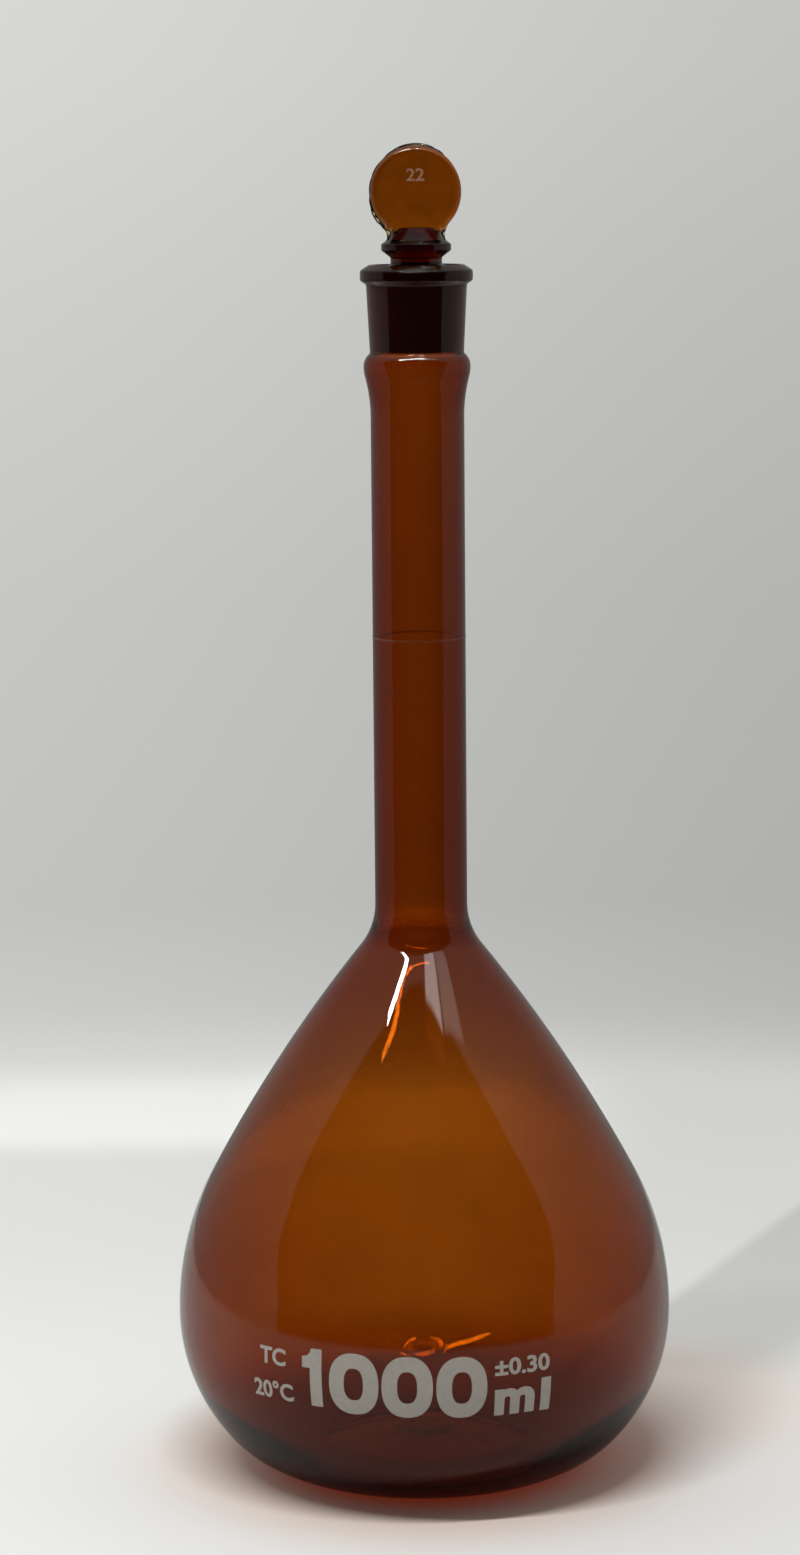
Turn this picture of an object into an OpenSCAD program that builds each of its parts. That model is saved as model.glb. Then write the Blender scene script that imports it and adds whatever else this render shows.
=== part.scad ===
// Volumetric flask of one litre with a penny-head stopper.
// Millimetres, +Z up. The origin is the middle of the foot, on the bench.
// The flask is three sections of glass sealed end to end: a blown bulb, a neck
// tube and a ground mouth. The stopper is pressed in one piece and lifts out.

/* [Bulb] */
// Widest outside diameter of the bulb
bulb_d = 126.4; // [118:0.2:134]
// Height of the widest level above the bench
bulb_mid_z = 40.2; // [38:0.1:43]
// Radius of the side below the widest level
lower_side_r = 46.5; // [45:0.5:50]
// Radius of the heel between the side and the foot
heel_r = 28; // [26:0.5:30]
// Radius of the side above the widest level
upper_side_r = 75.5; // [73:0.5:78]
// Angle above level at which the upper side runs into the cone
cone_angle = 28.3; // [27:0.1:30]
// Radius of the nearly straight cone under the neck
cone_r = 400; // [350:10:500]
// Radius of the hollow curve from the cone up into the neck
shoulder_r = 26; // [23:0.5:29]
// Wall of the bulb
bulb_wall = 1.77; // [1.6:0.01:2.4]

/* [Base] */
// Flat width of the foot ring
foot_w = 3; // [2:0.5:5]
// Radius of the inner lip of the foot ring
foot_lip_r = 4; // [2:0.5:6]
// Height of the pushed-up middle of the base
punt_rise = 5; // [3:0.5:7]
// Thickness of the glass over the pushed-up middle
base_wall = 3; // [2:0.1:4]
// How much tighter the heel is inside than outside
heel_gather = 4; // [3:0.5:6]

/* [Neck] */
// Inside diameter of the neck tube
neck_bore_d = 18.8; // [17.8:0.1:20]
// Wall of the neck tube
neck_wall = 2.3; // [1.9:0.1:2.6]
// Straight length of the neck between the shoulder and the bulge
neck_len = 120.4; // [100:0.1:140]
// Height of the lower seal below the straight neck
seal_drop = 10; // [6:0.5:14]
// Outside diameter of the bulge under the mouth
bulge_d = 26.7; // [25.8:0.1:27.6]
// Radius of the bulge above its widest level
bulge_top_r = 4; // [3.6:0.1:5]
// Radius of the bulge below its widest level
bulge_low_r = 10; // [8:0.5:12]
// Radius of the hollow curve from the neck into the bulge
bulge_hollow_r = 38; // [30:1:46]

/* [Graduation] */
// Height of the graduation line above the foot of the straight neck
mark_up = 65.2; // [55:0.1:85]
// Width of the fired line
mark_w = 0.5; // [0.3:0.05:0.8]
// Depth of the fired enamel
mark_t = 0.12; // [0.1:0.01:0.2]

/* [Mouth] */
// Diameter of the ground joint at the rim
joint_d = 22; // [21.4:0.1:22.8]
// Length of the ground joint
joint_len = 21.8; // [19:0.1:26]
// Length over which the ground joint gains one unit of diameter
taper_len = 10; // [9:0.5:12]
// Wall of the socket under the flange
socket_wall = 1.8; // [1.5:0.1:2.2]
// Flat land round the rim
rim_land = 0.8; // [0.2:0.05:1.2]
// How far the flange stands out from the rim of the joint
flange_out = 3.05; // [2.4:0.05:4]
// Height of the sloping top of the flange
flange_slope_h = 1.4; // [1:0.1:2.5]
// Height of the upright edge of the flange
flange_edge_h = 2.5; // [1:0.1:3.5]
// Height of the sloping underside of the flange
flange_under_h = 0.9; // [0.7:0.1:2]
// Rounding of the flange
flange_round = 0.5; // [0.3:0.1:0.7]

/* [Stopper] */
// Running gap between the plug and the ground joint
plug_gap = 0.03; // [0.01:0.01:0.08]
// How far the top of the plug sits below the rim
plug_sink = 0.8; // [0.5:0.1:3]
// How far the plug stops short of the foot of the ground joint
plug_short = 0.2; // [0:0.1:2]
// Rounding of both ends of the plug
plug_round = 0.9; // [0.3:0.1:1.5]
// Height of the slope from the plug up to the shank
shank_slope_h = 0.8; // [0.4:0.1:1]
// Diameter of the shank above the plug
shank_d = 12.8; // [11:0.1:14]
// Height of the foot of the collar above the rim
collar_up = 1.8; // [0.8:0.1:3]
// Diameter of the collar
collar_d = 17.4; // [16:0.1:19]
// Height of the flare from the shank out to the collar
flare_h = 1.7; // [1.4:0.1:3]
// Height of the upright edge of the collar
collar_edge_h = 1.6; // [0.8:0.1:2.4]
// Height of the slope from the collar up to the boss
collar_top_h = 1; // [0.6:0.1:2]
// Rounding of the shank, the collar and the boss
stem_round = 0.45; // [0.2:0.05:0.6]
// Diameter of the boss on the collar
boss_d = 14; // [12:0.1:16]
// Diameter of the flat top of the boss
boss_top_d = 8.6; // [7:0.1:10]
// Height of the boss
boss_h = 3.2; // [2:0.1:5]
// Diameter of the grip disc
disc_d = 23.2; // [21:0.1:26]
// Thickness of the grip disc
disc_t = 6; // [5:0.1:8]
// Bevel round the edge of the disc, measured along its face
disc_bevel = 1.4; // [0.8:0.1:2]
// Height of the lowest point of the disc above the foot of the boss
disc_up = 0.5; // [0:0.1:1.5]
// Width of the web from the collar into the disc
web_w = 14.3; // [12:0.1:15]
// Thickness of the web
web_t = 5.2; // [4:0.1:5.8]
// Radius of the hollow corners between web and disc
web_r = 5.5; // [4.5:0.5:8]

/* [Hidden] */

ROUND_FN = 128;    // facets of a full turn
chord_sag = 0.015; // how far a chord of an outline may leave its arc

amber = [0.45, 0.2, 0.05, 0.75];
ground_amber = [0.3, 0.16, 0.08];
enamel = [0.8, 0.8, 0.78];

// --- arcs ------------------------------------------------------------------

function at(centre, r, a) = centre + r * [cos(a), sin(a)];
function bearing(from, to) = atan2(to[1] - from[1], to[0] - from[0]);
function reversed(pts) = [for (i = [len(pts) - 1:-1:0]) pts[i]];

// Points along an arc from angle a0 to angle a1, both ends included.
function arc(centre, r, a0, a1) =
    let (n = ceil(abs(a1 - a0) / (2 * acos(1 - chord_sag / r))))
    [for (i = [0:n]) at(centre, r, a0 + (a1 - a0) * i / n)];

// The same arc without its first point, to follow an arc that ends there.
function arc_on(centre, r, a0, a1) =
    let (pts = arc(centre, r, a0, a1)) [for (i = [1:len(pts) - 1]) pts[i]];

// Arc of radius r that rounds the corner p between the points a and b.
function corner(a, p, b, r) =
    let (u = (a - p) / norm(a - p),
         v = (b - p) / norm(b - p),
         half = acos(u * v) / 2,
         centre = p + (u + v) / norm(u + v) * r / sin(half),
         start = bearing(centre, p + u * r / tan(half)),
         end = bearing(centre, p + v * r / tan(half)))
    arc(centre, r, start, start + (end - start + 540) % 360 - 180);

// Outline through [x, y, rounding] points. A rounding of 0 leaves the corner sharp.
function rounded(path) =
    let (n = len(path), pts = [for (p = path) [p[0], p[1]]])
    [for (i = [0:n - 1]) each path[i][2] == 0 ? [pts[i]]
         : corner(pts[(i + n - 1) % n], pts[i], pts[(i + 1) % n], path[i][2])];

// The right-hand one of the two points at r1 from c1 and r2 from c2.
function meet(c1, r1, c2, r2) =
    let (gap = norm(c2 - c1),
         along = (r1 * r1 - r2 * r2 + gap * gap) / (2 * gap),
         off = sqrt(r1 * r1 - along * along),
         u = (c2 - c1) / gap)
    c1 + along * u + off * [u[1], -u[0]];

module revolve() {
    rotate_extrude($fn = ROUND_FN) children();
}

// --- bulb ------------------------------------------------------------------

bulb_r = bulb_d / 2;
bore_r = neck_bore_d / 2;
neck_r = bore_r + neck_wall;

low_c = [bulb_r - lower_side_r, bulb_mid_z];
up_c = [bulb_r - upper_side_r, bulb_mid_z];
cone_c = at(up_c, upper_side_r - cone_r, cone_angle);

// Outer heel: stands on the bench and runs into the lower side.
heel_c = [low_c[0] + sqrt(pow(lower_side_r - heel_r, 2) - pow(bulb_mid_z - heel_r, 2)), heel_r];
heel_end = bearing(low_c, heel_c);

// Pushed-up middle: a dome that runs into the inner lip of the foot ring.
lip_c = [heel_c[0] - foot_w, foot_lip_r];
punt_r = (pow(lip_c[0], 2) + pow(punt_rise, 2)) / (2 * punt_rise) - foot_lip_r;
punt_c = [0, punt_rise - punt_r];
lip_end = bearing(punt_c, lip_c);

// Inner heel: runs from the inner dome into the inner side.
floor_r = punt_r + base_wall;
in_heel_r = heel_r - heel_gather;
in_heel_c = meet(punt_c, floor_r + in_heel_r, low_c, lower_side_r - bulb_wall - in_heel_r);
in_heel_top = bearing(low_c, in_heel_c);
in_heel_foot = bearing(punt_c, in_heel_c);

// Centre of the hollow shoulder that runs from a cone into a tube of radius r.
function shoulder_c(r, hollow, cone) =
    [r + hollow, cone_c[1] + sqrt(pow(cone + hollow, 2) - pow(r + hollow - cone_c[0], 2))];

out_shoulder = shoulder_c(neck_r, shoulder_r, cone_r);
in_shoulder = shoulder_c(bore_r, shoulder_r + bulb_wall, cone_r - bulb_wall);
neck_z = out_shoulder[1];
seal_z = neck_z - seal_drop;

// Angle at which a hollow shoulder crosses the seal.
function seal_angle(centre, r) = 180 + asin((centre[1] - seal_z) / r);

// One skin of the bulb from its widest level up to the seal.
function upper_side(inset, hollow_c, hollow_r) =
    let (cone_end = bearing(cone_c, hollow_c))
    concat(arc_on(up_c, upper_side_r - inset, 0, cone_angle),
           arc_on(cone_c, cone_r - inset, cone_angle, cone_end),
           arc_on(hollow_c, hollow_r, cone_end + 180, seal_angle(hollow_c, hollow_r)));

module bulb() {
    outer = concat(arc(punt_c, punt_r, 90, lip_end),
                   arc_on(lip_c, foot_lip_r, lip_end - 180, -90),
                   arc(heel_c, heel_r, -90, heel_end),
                   arc_on(low_c, lower_side_r, heel_end, 0),
                   upper_side(0, out_shoulder, shoulder_r));
    inner = concat(arc(punt_c, floor_r, 90, in_heel_foot),
                   arc_on(in_heel_c, in_heel_r, in_heel_foot - 180, in_heel_top),
                   arc_on(low_c, lower_side_r - bulb_wall, in_heel_top, 0),
                   upper_side(bulb_wall, in_shoulder, shoulder_r + bulb_wall));
    color(amber) revolve() polygon(concat(outer, reversed(inner)));
}

// --- neck tube -------------------------------------------------------------

bulge_r = bulge_d / 2;
joint_r = joint_d / 2;
joint_foot_r = joint_r - joint_len / taper_len / 2;
socket_foot_r = joint_foot_r + socket_wall;

hollow_c = [neck_r + bulge_hollow_r, neck_z + neck_len];
bulge_low_x = bulge_r - bulge_low_r;
bulge_z = hollow_c[1] + sqrt(pow(bulge_low_r + bulge_hollow_r, 2) - pow(hollow_c[0] - bulge_low_x, 2));
bulge_low_c = [bulge_low_x, bulge_z];
bulge_top_c = [bulge_r - bulge_top_r, bulge_z];
socket_z = bulge_z + sqrt(pow(bulge_top_r, 2) - pow(socket_foot_r - bulge_top_c[0], 2));
rim_z = socket_z + joint_len;
mark_z = neck_z + mark_up;

// One skin of the neck tube from the seal up to the mouth, where its radius is end_r.
function tube_skin(inset, shoulder, hollow_r, end_r) =
    let (turn = bearing(bulge_low_c, hollow_c),
         top_r = bulge_top_r - inset)
    concat(arc(shoulder, hollow_r, seal_angle(shoulder, hollow_r), 180),
           arc(hollow_c, bulge_hollow_r + inset, 180, turn + 180),
           arc_on(bulge_low_c, bulge_low_r - inset, turn, 0),
           arc_on(bulge_top_c, top_r, 0, acos((end_r - bulge_top_c[0]) / top_r)));

module neck_tube() {
    outer = tube_skin(0, out_shoulder, shoulder_r, socket_foot_r);
    inner = tube_skin(neck_wall, in_shoulder, shoulder_r + bulb_wall, joint_foot_r);
    color(amber) revolve() polygon(concat(outer, [[joint_foot_r, socket_z]], reversed(inner)));
}

module graduation_ring() {
    color(enamel) translate([0, 0, mark_z - mark_w / 2]) revolve()
        translate([neck_r, 0]) square([mark_t, mark_w]);
}

// --- ground mouth ----------------------------------------------------------

module mouth_socket() {
    flange_r = joint_r + flange_out;
    edge_top = rim_z - flange_slope_h;
    edge_foot = edge_top - flange_edge_h;
    root_z = edge_foot - flange_under_h;
    root_r = socket_foot_r + (root_z - socket_z) / taper_len / 2;
    color(ground_amber) revolve() polygon(rounded([
        [joint_foot_r, socket_z, 0], [socket_foot_r, socket_z, 0], [root_r, root_z, flange_round],
        [flange_r, edge_foot, flange_round], [flange_r, edge_top, flange_round],
        [joint_r + rim_land, rim_z, 0], [joint_r, rim_z, 0]]));
}

// --- stopper ---------------------------------------------------------------

plug_foot_z = socket_z + plug_short;
plug_top_z = rim_z - plug_sink;
function plug_r(z) = joint_r - (rim_z - z) / taper_len / 2 - plug_gap;

shank_r = shank_d / 2;
collar_r = collar_d / 2;
boss_r = boss_d / 2;
collar_z = rim_z + collar_up;
collar_edge_z = collar_z + flare_h;
boss_z = collar_edge_z + collar_edge_h + collar_top_h;
disc_r = disc_d / 2;
disc_z = boss_z + disc_up + disc_r;

// Plug, shank, collar and boss, turned about the axis.
module stopper_stem() {
    revolve() polygon(rounded([
        [0, plug_foot_z, 0], [plug_r(plug_foot_z), plug_foot_z, plug_round],
        [plug_r(plug_top_z), plug_top_z, plug_round],
        [shank_r, plug_top_z + shank_slope_h, stem_round], [shank_r, collar_z, stem_round],
        [collar_r, collar_edge_z, stem_round],
        [collar_r, collar_edge_z + collar_edge_h, stem_round], [boss_r, boss_z, stem_round],
        [boss_top_d / 2, boss_z + boss_h, stem_round], [0, boss_z + boss_h, 0]]));
}

// Upright disc with bevelled edges, facing front and back.
module grip_disc() {
    translate([0, 0, disc_z]) rotate([90, 0, 0]) revolve() polygon([
        [0, -disc_t / 2], [disc_r - disc_bevel, -disc_t / 2], [disc_r, disc_bevel - disc_t / 2],
        [disc_r, disc_t / 2 - disc_bevel], [disc_r - disc_bevel, disc_t / 2], [0, disc_t / 2]]);
}

// Web that spreads from the boss into the disc through two hollow corners.
module grip_web() {
    corner_x = web_w / 2 + web_r;
    corner = [corner_x, disc_z - sqrt(pow(disc_r + web_r, 2) - pow(corner_x, 2))];
    foot_z = collar_edge_z + collar_edge_h;
    side = arc(corner, web_r, 180 - asin((foot_z - corner[1]) / web_r),
               bearing(corner, [0, disc_z]));
    rotate([90, 0, 0]) linear_extrude(web_t, center = true)
        polygon(concat(side, [[0, disc_z]], [for (p = reversed(side)) [-p[0], p[1]]]));
}

module stopper() {
    color(ground_amber) {
        stopper_stem();
        grip_disc();
        grip_web();
    }
}

bulb();
neck_tube();
mouth_socket();
graduation_ring();
stopper();
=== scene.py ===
"""Looks of the one-litre amber volumetric flask: glass, enamel, light and camera.

Lengths are written in millimetres and turned into metres where a mesh is made.
The row frame has +Z up the neck and -Y towards the printed side.
"""
import math

import bmesh
import bpy
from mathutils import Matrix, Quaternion, Vector, noise


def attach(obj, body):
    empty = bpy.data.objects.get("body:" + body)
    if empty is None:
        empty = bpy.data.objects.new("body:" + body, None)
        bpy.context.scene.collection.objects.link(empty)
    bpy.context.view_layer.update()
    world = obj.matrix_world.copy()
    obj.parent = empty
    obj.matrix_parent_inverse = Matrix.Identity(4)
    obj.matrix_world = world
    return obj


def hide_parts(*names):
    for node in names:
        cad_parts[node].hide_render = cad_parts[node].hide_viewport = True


MM = 0.001

# --- flask, the same driving lengths as the solids --------------------------------
BULB_R = 63.2
BULB_MID_Z = 40.2
LOWER_SIDE_R = 46.5
HEEL_R = 28.0
UPPER_SIDE_R = 75.5
CONE_ANGLE = 28.3
CONE_R = 400.0
SHOULDER_R = 26.0
BULB_WALL = 1.77
FOOT_W = 3.0
FOOT_LIP_R = 4.0
PUNT_RISE = 5.0
BASE_WALL = 3.0
HEEL_GATHER = 4.0
BORE_R = 9.4
NECK_R = 11.7
NECK_LEN = 120.4
SEAL_DROP = 10.0
BULGE_R = 13.35
BULGE_TOP_R = 4.0
BULGE_LOW_R = 10.0
BULGE_HOLLOW_R = 38.0
JOINT_R = 11.0
JOINT_LEN = 21.8
TAPER = 0.05
SOCKET_WALL = 1.8
RIM_LAND = 0.8
FLANGE_OUT = 3.05
FLANGE_SLOPE_H = 1.4
FLANGE_EDGE_H = 2.5
FLANGE_UNDER_H = 0.9
FLANGE_ROUND = 0.5

# --- stopper ----------------------------------------------------------------------
PLUG_GAP = 0.03
PLUG_SINK = 0.8
PLUG_SHORT = 0.2
PLUG_ROUND = 0.9
SHANK_SLOPE_H = 0.8
SHANK_R = 6.4
COLLAR_UP = 1.8
COLLAR_R = 8.7
FLARE_H = 1.7
COLLAR_EDGE_H = 1.6
COLLAR_TOP_H = 1.0
STEM_ROUND = 0.45
BOSS_R = 7.0
BOSS_TOP_R = 4.3
BOSS_H = 3.2
DISC_R = 11.25
DISC_T = 6.0
DISC_UP = 0.55
WEB_HALF_W = 7.15
WEB_T = 5.2
WEB_R = 5.5

# --- how finely and how softly the glass is made ----------------------------------
AROUND = 192
STEP = 0.7
FIRE_POLISH = 0.25
BULGE_POLISH = 1.0
PRINT_ROOM = 0.06

# --- camera, fitted to the outline --------------------------------------------------
CAMERA_POS = (0.0, -0.975, 0.3305)
CAMERA_DOWN = 8.9
CAMERA_LEFT = 0.301
CAMERA_ROLL = -0.49
CAMERA_LENS = 90.29


# --- outlines -----------------------------------------------------------------------

def at(centre, radius, angle):
    turn = math.radians(angle)
    return (centre[0] + radius * math.cos(turn), centre[1] + radius * math.sin(turn))


def bearing(start, end):
    return math.degrees(math.atan2(end[1] - start[1], end[0] - start[0]))


def arc(centre, radius, start, end):
    """Points every STEP or so along an arc, both ends included."""
    length = abs(math.radians(end - start)) * radius
    count = max(3, math.ceil(length / min(STEP, radius * 0.12)))
    return [at(centre, radius, start + (end - start) * i / count) for i in range(count + 1)]


def rounded(path):
    """An outline through (x, z, rounding) points."""
    out = []
    for i, (x, z, radius) in enumerate(path):
        p = Vector((x, z))
        if radius == 0:
            out.append((x, z))
            continue
        u = (Vector(path[i - 1][:2]) - p).normalized()
        v = (Vector(path[(i + 1) % len(path)][:2]) - p).normalized()
        half = u.angle(v) / 2
        centre = p + (u + v).normalized() * radius / math.sin(half)
        start = bearing(centre, p + u * radius / math.tan(half))
        end = bearing(centre, p + v * radius / math.tan(half))
        sweep = (end - start + 540) % 360 - 180
        out += arc(centre, radius, start, start + sweep)
    return out


def resampled(points, step):
    """The same line with points at an even spacing."""
    line = [Vector(p) for p in points]
    lengths = [0.0]
    for a, b in zip(line, line[1:]):
        lengths.append(lengths[-1] + (b - a).length)
    count = max(2, round(lengths[-1] / step))
    out = []
    k = 0
    for i in range(count + 1):
        s = lengths[-1] * i / count
        while k < len(line) - 2 and lengths[k + 1] < s:
            k += 1
        span = lengths[k + 1] - lengths[k]
        t = 0.0 if span == 0 else (s - lengths[k]) / span
        out.append(line[k].lerp(line[k + 1], t))
    return out


def fire_polished(points, spread, step=0.1):
    """Rounds every corner of an outline a little, as a flame does."""
    fine = resampled(points, step)
    reach = math.ceil(2.5 * spread / step)
    weights = [math.exp(-0.5 * (k * step / spread) ** 2) for k in range(-reach, reach + 1)]
    out = [fine[0]]
    last = len(fine) - 1
    for i in range(1, last):
        near = min(reach, i, last - i)
        total = Vector((0.0, 0.0))
        share = 0.0
        for k in range(-near, near + 1):
            w = weights[k + reach]
            total += fine[i + k] * w
            share += w
        out.append(total / share)
    out.append(fine[last])
    return out


def thinned(points, sag=0.004, longest=1.6):
    """Drops points that a straight line passes within sag of."""
    out = [points[0]]
    start = 0
    i = 2
    while i < len(points):
        a = points[start]
        b = points[i]
        along = (b - a)
        far = along.length > longest
        if not far:
            n = Vector((-along[1], along[0])).normalized()
            far = any(abs((p - a).dot(n)) > sag for p in points[start + 1:i])
        if far:
            start = i - 1
            out.append(points[start])
        i += 1
    out.append(points[-1])
    return out


def meet(c1, r1, c2, r2):
    """The right-hand one of the two points at r1 from c1 and r2 from c2."""
    a = Vector(c1)
    gap = Vector(c2) - a
    d = gap.length
    along = (r1 * r1 - r2 * r2 + d * d) / (2 * d)
    off = math.sqrt(r1 * r1 - along * along)
    u = gap / d
    return a + along * u + off * Vector((u[1], -u[0]))


LOW_C = (BULB_R - LOWER_SIDE_R, BULB_MID_Z)
UP_C = (BULB_R - UPPER_SIDE_R, BULB_MID_Z)
CONE_C = at(UP_C, UPPER_SIDE_R - CONE_R, CONE_ANGLE)
HEEL_REACH = math.sqrt((LOWER_SIDE_R - HEEL_R) ** 2 - (BULB_MID_Z - HEEL_R) ** 2)
HEEL_C = (LOW_C[0] + HEEL_REACH, HEEL_R)
LIP_C = (HEEL_C[0] - FOOT_W, FOOT_LIP_R)
PUNT_R = (LIP_C[0] ** 2 + PUNT_RISE ** 2) / (2 * PUNT_RISE) - FOOT_LIP_R
PUNT_C = (0.0, PUNT_RISE - PUNT_R)


def shoulder_c(tube_r, hollow, cone):
    rise = math.sqrt((cone + hollow) ** 2 - (tube_r + hollow - CONE_C[0]) ** 2)
    return (tube_r + hollow, CONE_C[1] + rise)


NECK_Z = shoulder_c(NECK_R, SHOULDER_R, CONE_R)[1]
TIGHT_SHOULDER_R = 17.5
HOLLOW_C = (NECK_R + BULGE_HOLLOW_R, NECK_Z + NECK_LEN)
BULGE_LOW_X = BULGE_R - BULGE_LOW_R
BULGE_RISE = math.sqrt((BULGE_LOW_R + BULGE_HOLLOW_R) ** 2 - (HOLLOW_C[0] - BULGE_LOW_X) ** 2)
BULGE_LOW_C = (BULGE_LOW_X, HOLLOW_C[1] + BULGE_RISE)
BULGE_TOP_C = (BULGE_R - BULGE_TOP_R, BULGE_LOW_C[1])
JOINT_FOOT_R = JOINT_R - JOINT_LEN * TAPER
SOCKET_FOOT_R = JOINT_FOOT_R + SOCKET_WALL
SOCKET_DROP = math.sqrt(BULGE_TOP_R ** 2 - (SOCKET_FOOT_R - BULGE_TOP_C[0]) ** 2)
SOCKET_Z = BULGE_LOW_C[1] + SOCKET_DROP
RIM_Z = SOCKET_Z + JOINT_LEN


def body_skin(inset, tube_r):
    """One skin from the widest level up to the straight neck."""
    hollow = TIGHT_SHOULDER_R + inset
    centre = shoulder_c(tube_r, hollow, CONE_R - inset)
    cone_end = bearing(CONE_C, centre)
    return (arc(UP_C, UPPER_SIDE_R - inset, 0, CONE_ANGLE)
            + arc(CONE_C, CONE_R - inset, CONE_ANGLE, cone_end)[1:]
            + arc(centre, hollow, cone_end + 180, 180)[1:])


def mouth_skin(inset, end_r):
    """One skin from the straight neck over the bulge to the foot of the mouth."""
    turn = bearing(BULGE_LOW_C, HOLLOW_C)
    top_r = BULGE_TOP_R - inset
    top_angle = math.degrees(math.acos((end_r - BULGE_TOP_C[0]) / top_r))
    return (arc(HOLLOW_C, BULGE_HOLLOW_R + inset, 180, turn + 180)
            + arc(BULGE_LOW_C, BULGE_LOW_R - inset, turn, 0)[1:]
            + arc(BULGE_TOP_C, top_r, 0, top_angle)[1:])


def outer_outline():
    """From the middle of the underside to the rim."""
    lip_end = bearing(PUNT_C, LIP_C)
    heel_end = bearing(LOW_C, HEEL_C)
    base = (arc(PUNT_C, PUNT_R, 90, lip_end)
            + arc(LIP_C, FOOT_LIP_R, lip_end - 180, -90)[1:]
            + arc(HEEL_C, HEEL_R, -90, heel_end)
            + arc(LOW_C, LOWER_SIDE_R, heel_end, 0)[1:])
    edge_top = RIM_Z - FLANGE_SLOPE_H
    edge_foot = edge_top - FLANGE_EDGE_H
    root_z = edge_foot - FLANGE_UNDER_H
    root_r = SOCKET_FOOT_R + (root_z - SOCKET_Z) * TAPER
    flange_r = JOINT_R + FLANGE_OUT
    mouth = rounded([(SOCKET_FOOT_R, SOCKET_Z, 0), (root_r, root_z, FLANGE_ROUND),
                     (flange_r, edge_foot, FLANGE_ROUND), (flange_r, edge_top, FLANGE_ROUND),
                     (JOINT_R + RIM_LAND, RIM_Z, 0)])
    return (base + body_skin(0.0, NECK_R)[1:] + mouth_skin(0.0, SOCKET_FOOT_R) + mouth)


def inner_outline():
    """From the rim down to the middle of the inside floor."""
    floor_r = PUNT_R + BASE_WALL
    heel_r = HEEL_R - HEEL_GATHER
    heel_c = meet(PUNT_C, floor_r + heel_r, LOW_C, LOWER_SIDE_R - BULB_WALL - heel_r)
    heel_top = bearing(LOW_C, heel_c)
    heel_foot = bearing(PUNT_C, heel_c)
    up = (arc(PUNT_C, floor_r, 90, heel_foot)
          + arc(heel_c, heel_r, heel_foot - 180, heel_top)[1:]
          + arc(LOW_C, LOWER_SIDE_R - BULB_WALL, heel_top, 0)[1:]
          + body_skin(BULB_WALL, BORE_R)[1:]
          + mouth_skin(NECK_R - BORE_R, JOINT_FOOT_R)
          + [(JOINT_FOOT_R, SOCKET_Z), (JOINT_R, RIM_Z)])
    return up[::-1]


def smooth_step(low, high, x):
    t = min(1.0, max(0.0, (x - low) / (high - low)))
    return t * t * (3 - 2 * t)


def print_inset(z):
    """How far the skin of the bulb is set back, so that the enamel stays inside the box."""
    return PRINT_ROOM * (1 - smooth_step(90, 120, z)) * smooth_step(0.5, 8, z)


SEAL_BEAD = 0.45
SEAL_BEAD_Z = NECK_Z - SEAL_DROP - 1.9
SEAL_BEAD_SPREAD = 3.0
CONE_GATHER = 0.55
HEEL_EXTRA = 1.8
NECK_GATHER = 0.12
BELLY_GATHER = 0.4


def gather(z):
    """Extra glass inside: at the heel, up the cone, and as a bead at the seal under the neck."""
    bead = SEAL_BEAD * math.exp(-((z - SEAL_BEAD_Z) / SEAL_BEAD_SPREAD) ** 2)
    cone = CONE_GATHER * smooth_step(104, 128, z) * (1 - smooth_step(NECK_Z - 12, NECK_Z, z))
    belly = BELLY_GATHER * (1 - smooth_step(40, 88, z))
    heel = HEEL_EXTRA * (1 - smooth_step(6, 25, z))
    neck = NECK_GATHER * smooth_step(NECK_Z - 4, NECK_Z + 4, z) * (1 - smooth_step(225, 275, z))
    return bead + cone + belly + heel + neck


def softened_bulge(points):
    """The inside skin, with the hollow under the mouth drawn out softer than the rest."""
    crisp = fire_polished(points, FIRE_POLISH)
    soft = fire_polished(points, BULGE_POLISH)
    out = []
    for a, b in zip(crisp, soft):
        above = smooth_step(SOCKET_Z - 9, SOCKET_Z - 5, a[1])
        share = above * (1 - smooth_step(SOCKET_Z - 0.2, SOCKET_Z + 0.1, a[1]))
        out.append(a + (b - a) * share)
    return out


def flask_profile():
    outer = thinned(fire_polished(outer_outline(), FIRE_POLISH))
    inner = thinned(softened_bulge(inner_outline()))
    outer = [Vector((p[0] - (print_inset(p[1]) if p[0] > 30.7 else 0.0), p[1])) for p in outer]
    inner = [Vector((p[0] - gather(p[1]) * smooth_step(4, 12, p[0]), p[1])) for p in inner]
    return outer + inner


# --- meshes ---------------------------------------------------------------------------

def add_object(name, mesh):
    piece = bpy.data.objects.new(name, mesh)
    bpy.context.scene.collection.objects.link(piece)
    return piece


def close_rings(bm, rings, start, end):
    """Skins a list of vertex rings and closes both ends on a point."""
    count = len(rings[0])
    for a, b in zip(rings, rings[1:]):
        for k in range(count):
            j = (k + 1) % count
            bm.faces.new((a[k], a[j], b[j], b[k]))
    for k in range(count):
        j = (k + 1) % count
        bm.faces.new((start, rings[0][j], rings[0][k]))
        bm.faces.new((end, rings[-1][k], rings[-1][j]))


def turned(radius, turn, z):
    """A point in metres from a radius, a turn from the front and a height in millimetres."""
    return (radius * MM * math.sin(turn), -radius * MM * math.cos(turn), z * MM)


def mesh_object(bm, name, material):
    mesh = bpy.data.meshes.new(name)
    bm.to_mesh(mesh)
    bm.free()
    mesh.materials.append(material)
    return add_object(name, mesh)


def finish_mesh(bm, name, material):
    bmesh.ops.recalc_face_normals(bm, faces=bm.faces)
    for face in bm.faces:
        face.smooth = True
    return mesh_object(bm, name, material)


def thickened(piece, thickness, offset):
    thick = piece.modifiers.new("thickness", "SOLIDIFY")
    thick.thickness = thickness * MM
    thick.offset = offset
    return piece


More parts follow.
